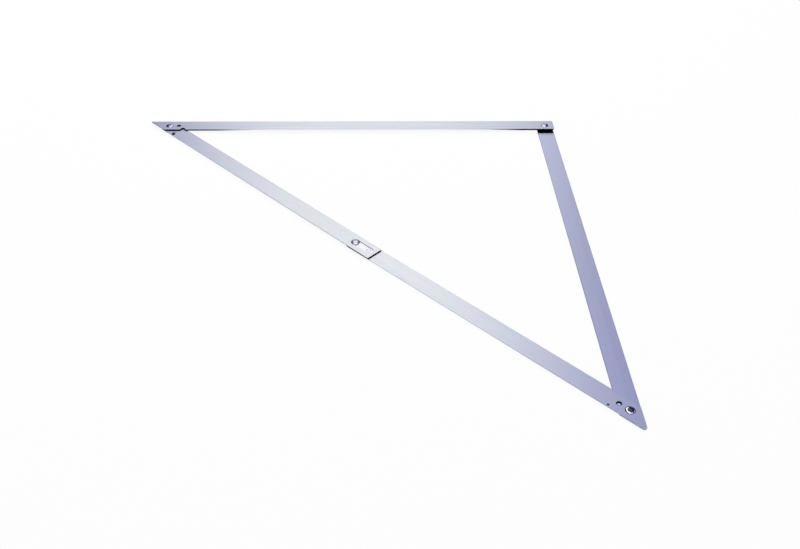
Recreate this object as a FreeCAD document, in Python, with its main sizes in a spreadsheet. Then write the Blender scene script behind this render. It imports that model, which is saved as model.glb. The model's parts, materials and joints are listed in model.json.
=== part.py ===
import FreeCAD, Part
import os
import Sketcher

# A folding builders square lying open on its back: a long U-channel leg, a flat right leg and a
# diagonal brace in two halves that fold inwards, so that all three bars nest in the channel.
#
# The origin is the outer corner of the right angle, on the channel's underside. The channel runs
# along -X with its open side towards -Y, the flat leg runs along -Y, and +Z points up.

# Sizes in millimetres
SIZES = {
    "leg_length": 1200.0,  # the channel's whole length
    "tip_inset": 57.0,  # the brace's pivot, in from the channel's tip
    "over_centre": 4.5,  # how far the middle pivot stands outside the line of the tip pivots
    "bar_width": 48.0,
    "bar_thickness": 1.5,
    "bar_bevel": 0.25,
    "web_thickness": 1.5,
    "flange_thickness": 1.5,
    "front_lip": 4.7,  # the top flange, in front of the seated stop pin's centre
    "lower_flange_depth": 34.0,
    "relief_depth": 7.0,  # how far the lower flange is cut back between its ends
    "relief_inset": 100.0,  # that relief, in from the channel's end at the right angle
    "relief_tip_inset": 200.0,  # and in from its mitred tip
    "relief_run": 150.0,  # the length of the relief's slanting ends
    "bend_radius": 1.2,
    "corner_inset": 2.5,  # the flat leg's outer edge, in from the channel's end
    "cut_margin": 0.8,  # the top flange's mitred end, out from the edge of the brace
    "tip_relief": 14.0,  # how far the web and the lower flange stop short of that mitre
    "flange_round": 2.5,  # the top flange's front corner at the right angle
    "fold_gap": 0.3,  # between a folded bar and the channel's web
    "lower_gap": 0.3,  # lower flange to flat leg
    "tip_gap": 0.5,  # flat leg to lower brace
    "brace_gap": 2.0,  # lower brace to upper brace
    "top_gap": 1.5,  # upper brace to top flange
    "end_relief": 0.5,  # how much shorter than a full half circle a rounded end is
    "tip_round": 6.0,
    "overhang": 67.0,  # the upper brace's free end, past the middle pivot
    "overhang_round": 1.5,
    "shank_radius": 4.0,
    "running_gap": 0.05,
    "tail_radius": 5.5,
    "tail_depth": 0.9,
    "head_radius": 5.2,
    "head_height": 1.1,
    "head_bevel": 0.2,
    "cup_radius": 9.5,
    "cup_seat_radius": 5.6,
    "cup_rim": 0.4,
    "cup_crown": 1.25,
    "spacer_radius": 8.0,
    "base_rim": 0.2,  # the rim of the tip pivot's lower half, above the flat leg
    "detent_reach": 26.5,  # from a tip pivot to its detent hole
    "detent_radius": 5.5,
    "pip_radius": 3.4,
    "pip_top_radius": 2.0,
    "pip_clearance": 0.2,
    "stop_along": 41.0,  # from a tip pivot along the bar to its fold stop
    "stop_across": 16.0,
    "tip_stop_across": 18.2,
    "stop_radius": 2.75,
    "stop_bevel": 0.4,
    "stop_recess": 0.4,  # from the stop pin's top down to the top flange's upper face
    "notch_mouth": 17.0,
    "notch_floor": 7.0,
    "notch_depth": 9.5,
    "slot_start": 7.0,  # the latch slot, from the middle pivot
    "slot_width": 21.0,
    "slot_end": 58.5,
    "leaf_thickness": 0.5,
    "leaf_drop": 0.3,  # between the leaf and the upper brace
    "leaf_margin": 0.6,  # between the leaf's edge and the slot's
    "leaf_eye_gap": 0.3,
    "neck_radius": 4.8,  # the middle spacer, where it passes through the leaf
    "button_reach": 45.5,  # from the middle pivot to the latch button
    "button_bore_radius": 4.3,
    "button_tube_radius": 5.1,
    "button_rim_radius": 6.6,
    "button_rim": 0.4,
    "button_height": 0.9,
    "button_tip_gap": 0.3,
    "catch_clearance": 0.6,
}

# What follows from the sizes, as expressions of the sheet
BAR = "Sizes.bar_thickness"
FLANGE = "Sizes.flange_thickness"
HALF = "(Sizes.bar_width / 2)"
ROUND = f"({HALF} - Sizes.end_relief)"
FLAT_LEG_Z = f"({FLANGE} + Sizes.lower_gap)"
LOWER_BRACE_Z = f"({FLAT_LEG_Z} + {BAR} + Sizes.tip_gap)"
UPPER_BRACE_Z = f"({LOWER_BRACE_Z} + {BAR} + Sizes.brace_gap)"
TOP_FLANGE_Z = f"({UPPER_BRACE_Z} + {BAR} + Sizes.top_gap)"
HEIGHT = f"({TOP_FLANGE_Z} + {FLANGE})"
PIVOT_X = f"(Sizes.corner_inset + {HALF})"
PIVOT_Y = f"(Sizes.web_thickness + Sizes.fold_gap + {HALF})"
SPACING = f"(Sizes.leg_length - {PIVOT_X} - Sizes.tip_inset)"
TOP_FLANGE_DEPTH = f"({PIVOT_Y} + Sizes.stop_across + Sizes.front_lip)"
HALF_DIAGONAL = f"({SPACING} / sqrt(2))"
LEAN = f"atan(Sizes.over_centre / {HALF_DIAGONAL})"
TIP_ANGLE = f"(45deg + {LEAN})"
REACH = f"sqrt({HALF_DIAGONAL}^2 + Sizes.over_centre^2)"
TIP_LONG = f"({HALF} / tan({TIP_ANGLE} / 2))"
TIP_SHORT = f"({HALF} * tan({TIP_ANGLE} / 2))"
BORE = "(Sizes.shank_radius + Sizes.running_gap)"
CORNER = (f"-{PIVOT_X}", f"-{PIVOT_Y}")
BRACE_TIP = (f"-({PIVOT_X} + {SPACING})", f"-{PIVOT_Y}")
LEG_TIP = (f"-{PIVOT_X}", f"-({PIVOT_Y} + {SPACING})")
LEG_TURN = "-90deg"
UPPER_TURN = f"(0deg - {TIP_ANGLE})"
LOWER_TURN = f"(90deg + {TIP_ANGLE})"
LEAF_TOP = f"({UPPER_BRACE_Z} - Sizes.leaf_drop)"
LEAF_Z = f"({LEAF_TOP} - Sizes.leaf_thickness)"
SLOT_CENTRE = "(Sizes.slot_end - Sizes.slot_width / 2)"
LEAF_HALF = "(Sizes.slot_width / 2 - Sizes.leaf_margin)"
STOP_BORE = "(Sizes.stop_radius + Sizes.running_gap)"

document = FreeCAD.newDocument("BuildersSquare")
parts = []


def write_sizes():
    sheet = document.addObject("Spreadsheet::Sheet", "Sizes")
    for row, (name, value) in enumerate(SIZES.items(), start=1):
        sheet.set(f"A{row}", name)
        sheet.set(f"B{row}", str(value))
        sheet.setAlias(f"B{row}", name)
    document.recompute()
    return sheet


sizes = write_sizes()


def number(expression):
    result = sizes.evalExpression(expression)
    return float(getattr(result, "Value", result))


def point_on(pivot, turn, along, across):
    """The place, seen from above, of a point in the frame of a bar that starts at a pivot."""
    x = f"({pivot[0]} + ({along}) * cos({turn}) - ({across}) * sin({turn}))"
    y = f"({pivot[1]} + ({along}) * sin({turn}) + ({across}) * cos({turn}))"
    return x, y


MIDDLE = point_on(BRACE_TIP, UPPER_TURN, REACH, "0")


def new_body(label, place=("0", "0", "0"), turn=None):
    body = document.addObject("PartDesign::Body", label)
    body.Label = label
    body.Placement = FreeCAD.Placement(
        FreeCAD.Vector(), FreeCAD.Rotation(FreeCAD.Vector(0, 0, 1), 1 if turn else 0)
    )
    for axis, expression in zip("xyz", place):
        body.setExpression(f"Placement.Base.{axis}", expression)
    if turn:
        body.setExpression("Placement.Rotation.Angle", turn)
    parts.append(body)
    return body


def origin_plane(body, role):
    return next(item for item in body.Origin.OriginFeatures if item.Role == role)


def new_sketch(body, name, role="XY_Plane", level="0"):
    sketch = body.newObject("Sketcher::SketchObject", name)
    sketch.AttachmentSupport = [(origin_plane(body, role), "")]
    sketch.MapMode = "FlatFace"
    sketch.setExpression("AttachmentOffset.Base.z", level)
    return sketch


def bind(sketch, kind, *geometry, expression):
    index = sketch.addConstraint(Sketcher.Constraint(kind, *geometry, number(expression)))
    sketch.setExpression(f"Constraints[{index}]", expression)


def bowed_side(start, end, radius):
    """A level side of an outline, bowed upwards."""
    half = (end - start).Length / 2
    crown = start + (end - start) / 2
    crown.y += radius - (radius**2 - half**2) ** 0.5
    return Part.Arc(start, crown, end)


def add_outline(sketch, corners, arc_after=None, arc_radius=None):
    """A closed outline with every corner held by its own two sizes, and one side bent if asked."""
    ends = [FreeCAD.Vector(number(x), number(y), 0) for x, y in corners]
    for index, start in enumerate(ends):
        end = ends[(index + 1) % len(ends)]
        if index == arc_after:
            sketch.addGeometry(bowed_side(start, end, number(arc_radius)), False)
        else:
            sketch.addGeometry(Part.LineSegment(start, end), False)
    for index, (x, y) in enumerate(corners):
        previous = (index - 1) % len(corners)
        sketch.addConstraint(Sketcher.Constraint("Coincident", previous, 2, index, 1))
        bind(sketch, "DistanceX", -1, 1, index, 1, expression=x)
        bind(sketch, "DistanceY", -1, 1, index, 1, expression=y)
    if arc_after is not None:
        bind(sketch, "Radius", arc_after, expression=arc_radius)


def add_circle(sketch, x, y, radius):
    centre = FreeCAD.Vector(number(x), number(y), 0)
    index = sketch.addGeometry(Part.Circle(centre, FreeCAD.Vector(0, 0, 1), number(radius)), False)
    bind(sketch, "DistanceX", -1, 1, index, 3, expression=x)
    bind(sketch, "DistanceY", -1, 1, index, 3, expression=y)
    bind(sketch, "Radius", index, expression=radius)


def add_pad(body, sketch, length, backwards=False):
    pad = body.newObject("PartDesign::Pad", "Pad")
    pad.Profile = sketch
    pad.Reversed = backwards
    pad.setExpression("Length", length)
    document.recompute()
    return pad


def add_pocket(body, sketch, depth):
    """A pocket that cuts upwards from its sketch."""
    before = body.Shape.Volume
    pocket = body.newObject("PartDesign::Pocket", "Pocket")
    pocket.Profile = sketch
    pocket.Reversed = True
    pocket.setExpression("Length", depth)
    document.recompute()
    if not body.Shape.Volume < before:
        raise RuntimeError(f"{body.Label}: {sketch.Name} cuts nothing")


def cut_circle(body, name, x, y, radius, depth=BAR, level="0"):
    sketch = new_sketch(body, name, level=level)
    add_circle(sketch, x, y, radius)
    add_pocket(body, sketch, depth)


def cut_outline(body, name, corners, depth=BAR, level="0"):
    sketch = new_sketch(body, name, level=level)
    add_outline(sketch, corners)
    add_pocket(body, sketch, depth)


def place_on_plane(body, feature, x, y):
    feature.AttachmentSupport = [(origin_plane(body, "XY_Plane"), "")]
    feature.MapMode = "FlatFace"
    feature.setExpression("AttachmentOffset.Base.x", x)
    feature.setExpression("AttachmentOffset.Base.y", y)


def cut_countersink(body, x, y):
    """The seat of a flush rivet tail, in the underside."""
    before = body.Shape.Volume
    cone = body.newObject("PartDesign::SubtractiveCone", "Countersink")
    place_on_plane(body, cone, x, y)
    cone.setExpression("Radius1", "Sizes.tail_radius + Sizes.running_gap")
    cone.setExpression("Radius2", BORE)
    cone.setExpression("Height", "Sizes.tail_depth")
    document.recompute()
    if not body.Shape.Volume < before:
        raise RuntimeError(f"{body.Label}: the countersink cuts nothing")


def add_pip(body, x, y, gap):
    """A pressed pip that snaps into the detent hole of the sheet above."""
    pip = body.newObject("PartDesign::AdditiveCone", "Pip")
    place_on_plane(body, pip, x, y)
    pip.setExpression("Radius1", "Sizes.pip_radius")
    pip.setExpression("Radius2", "Sizes.pip_top_radius")
    pip.setExpression("Height", f"{BAR} + {gap} - Sizes.pip_clearance")
    document.recompute()


def upright_edges(shape, corners):
    names = []
    for x, y in corners:
        spot = FreeCAD.Vector(number(x), number(y), 0)
        for index, edge in enumerate(shape.Edges, start=1):
            ends = [vertex.Point for vertex in edge.Vertexes]
            on_spot = [abs(end.x - spot.x) + abs(end.y - spot.y) < 0.01 for end in ends]
            if len(ends) == 2 and all(on_spot):
                names.append(f"Edge{index}")
    return names


def round_corners(body, corners, radius):
    before = body.Tip
    names = upright_edges(before.Shape, corners)
    fillet = body.newObject("PartDesign::Fillet", "Round")
    fillet.Base = (before, names)
    fillet.setExpression("Radius", radius)
    document.recompute()


def bevel_faces(body):
    """A fine bevel round the upper and lower faces of a sheet."""
    before = body.Tip
    names = []
    for index, face in enumerate(before.Shape.Faces, start=1):
        if abs(face.normalAt(0, 0).z) > 0.9:
            names.append(f"Face{index}")
    chamfer = body.newObject("PartDesign::Chamfer", "Bevel")
    chamfer.Base = (before, names)
    chamfer.setExpression("Size", "Sizes.bar_bevel")
    document.recompute()


def cut_notch(body):
    """The flared notch in the top flange that the brace's fold stop swings into."""
    x = f"({BRACE_TIP[0]} + Sizes.stop_along)"
    mouth = f"-{TOP_FLANGE_DEPTH}"
    corners = (
        (f"{x} - Sizes.notch_floor / 2", f"{mouth} + Sizes.notch_depth"),
        (f"{x} - Sizes.notch_mouth / 2", mouth),
        (f"{x} - Sizes.notch_mouth / 2", f"{mouth} - Sizes.notch_depth"),
        (f"{x} + Sizes.notch_mouth / 2", f"{mouth} - Sizes.notch_depth"),
        (f"{x} + Sizes.notch_mouth / 2", mouth),
        (f"{x} + Sizes.notch_floor / 2", f"{mouth} + Sizes.notch_depth"),
    )
    cut_outline(body, "Notch", corners, FLANGE, TOP_FLANGE_Z)


def cut_mitre(body, name, start, depth):
    """A 45 degree cut across the channel's end, from a place on its outer face."""
    corners = (
        (f"{start} - {TOP_FLANGE_DEPTH}", TOP_FLANGE_DEPTH),
        (f"{start} + 2 * {TOP_FLANGE_DEPTH}", f"-2 * {TOP_FLANGE_DEPTH}"),
        (f"{start} - {TOP_FLANGE_DEPTH}", f"-2 * {TOP_FLANGE_DEPTH}"),
    )
    cut_outline(body, name, corners, depth)


def cut_finger_relief(body):
    """A long shallow relief in the lower flange's front edge, to reach the folded bars."""
    inset, tip_inset, run = "Sizes.relief_inset", "Sizes.relief_tip_inset", "Sizes.relief_run"
    mouth = "-(Sizes.lower_flange_depth + 1)"
    floor = "-(Sizes.lower_flange_depth - Sizes.relief_depth)"
    slope = f"{run} * (1 + 1 / Sizes.relief_depth)"
    corners = (
        (f"-({inset} + {run})", floor),
        (f"-({inset} + {run} - {slope})", mouth),
        (f"-(Sizes.leg_length - {tip_inset} - {run} + {slope})", mouth),
        (f"-(Sizes.leg_length - {tip_inset} - {run})", floor),
    )
    cut_outline(body, "FingerRelief", corners, FLANGE)


def make_channel_leg():
    body = new_body("channel_leg")
    section = new_sketch(body, "Section", "YZ_Plane")
    corners = (
        ("0", "0"),
        ("-Sizes.lower_flange_depth", "0"),
        ("-Sizes.lower_flange_depth", FLANGE),
        ("-Sizes.web_thickness", FLANGE),
        ("-Sizes.web_thickness", TOP_FLANGE_Z),
        (f"-{TOP_FLANGE_DEPTH}", TOP_FLANGE_Z),
        (f"-{TOP_FLANGE_DEPTH}", HEIGHT),
        ("0", HEIGHT),
    )
    add_outline(section, corners)
    pad = add_pad(body, section, "Sizes.leg_length", backwards=True)
    bends = []
    for index, edge in enumerate(pad.Shape.Edges, start=1):
        ends = [vertex.Point for vertex in edge.Vertexes]
        if all(abs(end.y) < 0.01 for end in ends) and abs(ends[0].x - ends[1].x) > 1:
            bends.append(f"Edge{index}")
    fillet = body.newObject("PartDesign::Fillet", "Bends")
    fillet.Base = (pad, bends)
    fillet.setExpression("Radius", "Sizes.bend_radius")
    document.recompute()

    round_corners(body, (("0", f"-{TOP_FLANGE_DEPTH}"),), "Sizes.flange_round")
    mitre = f"({BRACE_TIP[0]} + {BRACE_TIP[1]} - sqrt(2) * ({HALF} + Sizes.cut_margin))"
    cut_mitre(body, "Mitre", mitre, HEIGHT)
    cut_mitre(body, "TipRelief", f"({mitre} + Sizes.tip_relief)", TOP_FLANGE_Z)

    cut_finger_relief(body)

    for name, place in (("CornerBore", CORNER), ("BraceBore", BRACE_TIP)):
        cut_circle(body, name, *place, BORE, FLANGE, TOP_FLANGE_Z)
    cut_circle(body, "CornerTailBore", *CORNER, BORE, FLANGE)
    cut_countersink(body, *CORNER)
    detent = (f"{BRACE_TIP[0]} + Sizes.detent_reach", BRACE_TIP[1])
    cut_circle(body, "Detent", *detent, "Sizes.detent_radius", FLANGE, TOP_FLANGE_Z)
    cut_notch(body)


def add_sheet(body, corners, rounds):
    """A flat bar from its outline, with some corners rounded and its faces bevelled."""
    outline = new_sketch(body, "Outline")
    add_outline(outline, corners)
    add_pad(body, outline, BAR)
    for picked, radius in rounds:
        round_corners(body, [corners[index] for index in picked], radius)
    bevel_faces(body)


def make_flat_leg():
    body = new_body("flat_leg", (*CORNER, FLAT_LEG_Z), LEG_TURN)
    tip = SPACING
    corners = (
        (f"-{ROUND}", f"-{HALF}"),
        (f"{tip} + {TIP_SHORT}", f"-{HALF}"),
        (f"{tip} + {TIP_LONG}", HALF),
        (f"-{ROUND}", HALF),
    )
    add_sheet(body, corners, (((0, 3), ROUND), ((2,), "Sizes.tip_round")))
    cut_circle(body, "CornerBore", "0", "0", BORE)
    cut_circle(body, "TipBore", tip, "0", BORE)
    cut_countersink(body, tip, "0")
    pip_x = f"{tip} - Sizes.detent_reach * cos({TIP_ANGLE})"
    pip_y = f"-Sizes.detent_reach * sin({TIP_ANGLE})"
    add_pip(body, pip_x, pip_y, "Sizes.tip_gap")


def make_lower_brace():
    body = new_body("lower_brace", (*LEG_TIP, LOWER_BRACE_Z), LOWER_TURN)
    corners = (
        (f"-{TIP_SHORT}", f"-{HALF}"),
        (f"{REACH} + {ROUND}", f"-{HALF}"),
        (f"{REACH} + {ROUND}", HALF),
        (f"-{TIP_LONG}", HALF),
    )
    add_sheet(body, corners, (((1, 2), ROUND), ((3,), "Sizes.tip_round")))
    cut_circle(body, "TipBore", "0", "0", BORE)
    cut_countersink(body, "0", "0")
    cut_circle(body, "Detent", "Sizes.detent_reach", "0", "Sizes.detent_radius")
    cut_circle(body, "StopBore", "Sizes.stop_along", "Sizes.tip_stop_across", STOP_BORE)
    cut_circle(body, "MiddleBore", REACH, "0", BORE)
    cut_countersink(body, REACH, "0")
    catch_x = f"{REACH} - Sizes.button_reach * cos(2 * {LEAN})"
    catch_y = f"Sizes.button_reach * sin(2 * {LEAN})"
    cut_circle(body, "Catch", catch_x, catch_y, "Sizes.button_tube_radius + Sizes.catch_clearance")


def make_upper_brace():
    body = new_body("upper_brace", (*BRACE_TIP, UPPER_BRACE_Z), UPPER_TURN)
    free_end = f"{REACH} + Sizes.overhang"
    corners = (
        (f"-{ROUND}", f"-{HALF}"),
        (free_end, f"-{HALF}"),
        (free_end, HALF),
        (f"-{ROUND}", HALF),
    )
    add_sheet(body, corners, (((0, 3), ROUND), ((1, 2), "Sizes.overhang_round")))
    cut_circle(body, "TipBore", "0", "0", BORE)
    cut_countersink(body, "0", "0")
    cut_circle(body, "StopBore", "Sizes.stop_along", "-Sizes.stop_across", STOP_BORE)
    cut_circle(body, "MiddleBore", REACH, "0", BORE)
    side = "Sizes.slot_width / 2"
    corners = (
        (f"{REACH} + Sizes.slot_start", f"-{side}"),
        (f"{REACH} + {SLOT_CENTRE}", f"-{side}"),
        (f"{REACH} + {SLOT_CENTRE}", side),
        (f"{REACH} + Sizes.slot_start", side),
    )
    cut_outline(body, "Slot", corners)
    cut_circle(body, "SlotEnd", f"{REACH} + {SLOT_CENTRE}", "0", side)
    pip_x = f"Sizes.detent_reach * cos({TIP_ANGLE})"
    pip_y = f"Sizes.detent_reach * sin({TIP_ANGLE})"
    add_pip(body, pip_x, pip_y, "Sizes.top_gap")


def make_turned(label, place, profile, arc_after=None, arc_radius=None):
    """A turned piece from pairs of radius and height."""
    body = new_body(label, (*place, "0"))
    sketch = new_sketch(body, "Profile", "XZ_Plane")
    add_outline(sketch, profile, arc_after, arc_radius)
    turn = body.newObject("PartDesign::Revolution", "Turn")
    turn.Profile = sketch
    turn.ReferenceAxis = (sketch, ["V_Axis"])
    document.recompute()
    return body


def head_profile(seat):
    """The flat rivet head that sits in its cup, from the shank out and back to the middle."""
    top = f"{seat} + Sizes.head_height"
    return (
        ("Sizes.shank_radius", f"{seat} + Sizes.cup_rim"),
        ("Sizes.head_radius", f"{seat} + Sizes.cup_rim"),
        ("Sizes.head_radius", f"{top} - Sizes.head_bevel"),
        ("Sizes.head_radius - Sizes.head_bevel", top),
        ("0", top),
    )


def make_rivet(label, place, foot, seat):
    """A rivet with a flush conical tail."""
    tail = (
        ("0", foot),
        ("Sizes.tail_radius", foot),
        ("Sizes.shank_radius", f"{foot} + Sizes.tail_depth"),
    )
    make_turned(label, place, (*tail, *head_profile(seat)))


def make_cup(label, place, seat):
    """The dished washer under a head, with a round crown about the head."""
    rim = f"{seat} + Sizes.cup_rim"
    chord = "(Sizes.cup_radius - Sizes.cup_seat_radius)"
    rise = "(Sizes.cup_crown - Sizes.cup_rim)"
    profile = (
        (BORE, seat),
        ("Sizes.cup_radius", seat),
        ("Sizes.cup_radius", rim),
        ("Sizes.cup_seat_radius", rim),
        (BORE, rim),
    )
    make_turned(label, place, profile, 2, f"{chord}^2 / (8 * {rise}) + {rise} / 2")


def make_spacer(label, place, foot, height):
    top = f"{foot} + {height}"
    profile = (
        (BORE, foot),
        ("Sizes.spacer_radius", foot),
        ("Sizes.spacer_radius", top),
        (BORE, top),
    )
    make_turned(label, place, profile)


def make_brace_joint():
    make_rivet("brace_rivet", BRACE_TIP, UPPER_BRACE_Z, HEIGHT)
    make_cup("brace_rivet_cup", BRACE_TIP, HEIGHT)
    make_spacer("brace_spacer", BRACE_TIP, f"{UPPER_BRACE_Z} + {BAR}", "Sizes.top_gap")


def make_tip_joint():
    """The two halves of the tip pivot: the rivet of the lower brace and the flat leg's base."""
    brace_face = f"({LOWER_BRACE_Z} + {BAR})"
    make_rivet("tip_rivet", LEG_TIP, LOWER_BRACE_Z, brace_face)
    make_cup("tip_rivet_cup", LEG_TIP, brace_face)
    leg_face = f"({FLAT_LEG_Z} + {BAR})"
    base_top = f"{leg_face} + Sizes.base_rim"
    base = (
        ("0", FLAT_LEG_Z),
        ("Sizes.tail_radius", FLAT_LEG_Z),
        ("Sizes.shank_radius", f"{FLAT_LEG_Z} + Sizes.tail_depth"),
        ("Sizes.shank_radius", leg_face),
        ("Sizes.spacer_radius", leg_face),
        ("Sizes.spacer_radius", base_top),
        ("0", base_top),
    )
    make_turned("tip_rivet_base", LEG_TIP, base)


def make_corner_joint():
    make_rivet("corner_rivet", CORNER, "0", HEIGHT)
    make_cup("corner_rivet_cup", CORNER, HEIGHT)
    leg_face = f"({FLAT_LEG_Z} + {BAR})"
    make_spacer("corner_spacer", CORNER, leg_face, f"{TOP_FLANGE_Z} - {leg_face}")
    make_spacer("corner_washer", CORNER, FLANGE, "Sizes.lower_gap")


def make_middle_joint():
    """The pivot of the two braces, with a necked spacer that leaves room for the latch leaf."""
    upper_face = f"({UPPER_BRACE_Z} + {BAR})"
    make_rivet("hinge_stud", MIDDLE, LOWER_BRACE_Z, upper_face)
    make_cup("hinge_stud_cup", MIDDLE, upper_face)
    foot = f"({LOWER_BRACE_Z} + {BAR})"
    shoulder = f"({LEAF_Z} - Sizes.leaf_drop)"
    spacer = (
        (BORE, foot),
        ("Sizes.spacer_radius", foot),
        ("Sizes.spacer_radius", shoulder),
        ("Sizes.neck_radius", shoulder),
        ("Sizes.neck_radius", UPPER_BRACE_Z),
        (BORE, UPPER_BRACE_Z),
    )
    make_turned("hinge_spacer", MIDDLE, spacer)


def make_stop_pin(label, place, foot, top):
    """A fold stop: a pin with a bevelled top."""
    profile = (
        ("0", foot),
        ("Sizes.stop_radius", foot),
        ("Sizes.stop_radius", f"{top} - Sizes.stop_bevel"),
        ("Sizes.stop_radius - Sizes.stop_bevel", top),
        ("0", top),
    )
    make_turned(label, place, profile)


def make_stops():
    place = point_on(BRACE_TIP, UPPER_TURN, "Sizes.stop_along", "-Sizes.stop_across")
    make_stop_pin("brace_stop_pin", place, UPPER_BRACE_Z, f"{HEIGHT} - Sizes.stop_recess")
    place = point_on(LEG_TIP, LOWER_TURN, "Sizes.stop_along", "Sizes.tip_stop_across")
    top = f"{LOWER_BRACE_Z} + {BAR} + Sizes.stop_bevel"
    make_stop_pin("tip_stop_pin", place, LOWER_BRACE_Z, top)


def make_latch():
    body = new_body("latch_spring", (*MIDDLE, LEAF_Z), UPPER_TURN)
    end_round = f"({LEAF_HALF} - Sizes.end_relief)"
    corners = (
        (f"-{end_round}", f"-{LEAF_HALF}"),
        (f"{SLOT_CENTRE} + {end_round}", f"-{LEAF_HALF}"),
        (f"{SLOT_CENTRE} + {end_round}", LEAF_HALF),
        (f"-{end_round}", LEAF_HALF),
    )
    outline = new_sketch(body, "Outline")
    add_outline(outline, corners)
    add_pad(body, outline, "Sizes.leaf_thickness")
    round_corners(body, corners, end_round)
    eye = "Sizes.neck_radius + Sizes.leaf_eye_gap"
    cut_circle(body, "Eye", "0", "0", eye, "Sizes.leaf_thickness")
    seat = "Sizes.button_tube_radius + Sizes.running_gap"
    cut_circle(body, "ButtonSeat", "Sizes.button_reach", "0", seat, "Sizes.leaf_thickness")

    tip = f"{LOWER_BRACE_Z} + {BAR} + Sizes.button_tip_gap"
    top = f"{LEAF_TOP} + Sizes.button_height"
    slope = "(Sizes.button_height - Sizes.button_rim)"
    profile = (
        ("Sizes.button_bore_radius", tip),
        ("Sizes.button_tube_radius", tip),
        ("Sizes.button_tube_radius", LEAF_TOP),
        ("Sizes.button_rim_radius", LEAF_TOP),
        ("Sizes.button_rim_radius", f"{LEAF_TOP} + Sizes.button_rim"),
        (f"Sizes.button_rim_radius - {slope}", top),
        ("Sizes.button_bore_radius", top),
    )
    place = point_on(MIDDLE, UPPER_TURN, "Sizes.button_reach", "0")
    make_turned("latch_button", place, profile)


def check_model():
    document.recompute()
    for item in document.Objects:
        if "Invalid" in item.State or "Error" in item.State:
            raise RuntimeError(f"{item.Name} failed: {item.State}")
    for body in parts:
        if body.Shape.isNull() or not body.Shape.isValid():
            raise RuntimeError(f"{body.Label} has no valid shape")
        if len(body.Shape.Solids) != 1:
            raise RuntimeError(f"{body.Label} is {len(body.Shape.Solids)} solids")


def write_parts():
    os.makedirs("parts", exist_ok=True)
    for body in parts:
        body.Shape.exportStep(os.path.join("parts", f"{body.Label}.step"))
        box = body.Shape.BoundBox
        print(f"{body.Label}: {box.XLength:.1f} x {box.YLength:.1f} x {box.ZLength:.2f}")
    print(f"brace reach {number(REACH):.4f}, brace angle {number(TIP_ANGLE):.4f}")


make_channel_leg()
make_flat_leg()
make_lower_brace()
make_upper_brace()
make_brace_joint()
make_corner_joint()
make_tip_joint()
make_middle_joint()
make_stops()
make_latch()
check_model()
write_parts()
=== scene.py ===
"""The looks of a folding builders square.

Satin anodised bars, dished rivet cups, a sprung latch, and the studio they are seen in.
"""

import json
import math

import bmesh
import bpy
from bpy.props import (
    BoolProperty,
    FloatProperty,
    FloatVectorProperty,
    IntProperty,
    PointerProperty,
)
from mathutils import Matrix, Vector


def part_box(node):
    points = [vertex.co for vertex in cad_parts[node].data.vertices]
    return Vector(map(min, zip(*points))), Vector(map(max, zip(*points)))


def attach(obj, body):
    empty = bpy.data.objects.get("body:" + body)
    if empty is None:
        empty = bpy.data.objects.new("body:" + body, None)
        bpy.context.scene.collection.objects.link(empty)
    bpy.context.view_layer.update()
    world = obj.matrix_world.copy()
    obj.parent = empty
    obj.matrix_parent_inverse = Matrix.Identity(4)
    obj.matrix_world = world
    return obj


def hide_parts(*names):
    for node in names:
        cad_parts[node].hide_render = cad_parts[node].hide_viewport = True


bl_info = {
    "name": "Folding builders square",
    "version": (1, 0, 0),
    "blender": (4, 5, 0),
    "location": "View3D > Sidebar > Square",
    "description": "Dresses the folding builders square and sets up its studio",
    "category": "Object",
}

MM = 0.001
# A profile is swept round a circle too small to see, whose points then merge on the axis.
AXIS_RADIUS = 1e-7
MERGE_REACH = 1e-6
SHARP_BEND = math.radians(35)
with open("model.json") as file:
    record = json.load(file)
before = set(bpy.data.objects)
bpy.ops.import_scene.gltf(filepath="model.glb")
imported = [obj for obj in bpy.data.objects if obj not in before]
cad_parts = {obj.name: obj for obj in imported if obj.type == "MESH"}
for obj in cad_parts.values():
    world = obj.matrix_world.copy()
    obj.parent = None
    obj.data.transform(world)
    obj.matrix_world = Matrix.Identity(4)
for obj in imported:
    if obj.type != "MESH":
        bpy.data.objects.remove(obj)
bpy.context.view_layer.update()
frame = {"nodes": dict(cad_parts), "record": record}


def linear(hex_code):
    """The linear colour of an sRGB hex value."""
    channels = [int(hex_code[i : i + 2], 16) / 255 for i in (1, 3, 5)]
    return tuple(c / 12.92 if c <= 0.04045 else ((c + 0.055) / 1.055) ** 2.4 for c in channels)


def length(name, description, millimetres):
    return FloatProperty(
        name=name, description=description, default=millimetres * MM, unit="LENGTH", precision=5
    )


def colour(name, description, hex_code):
    return FloatVectorProperty(
        name=name, description=description, default=linear(hex_code), subtype="COLOR", size=3
    )


def share(name, description, value):
    return FloatProperty(name=name, description=description, default=value, subtype="FACTOR")


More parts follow.
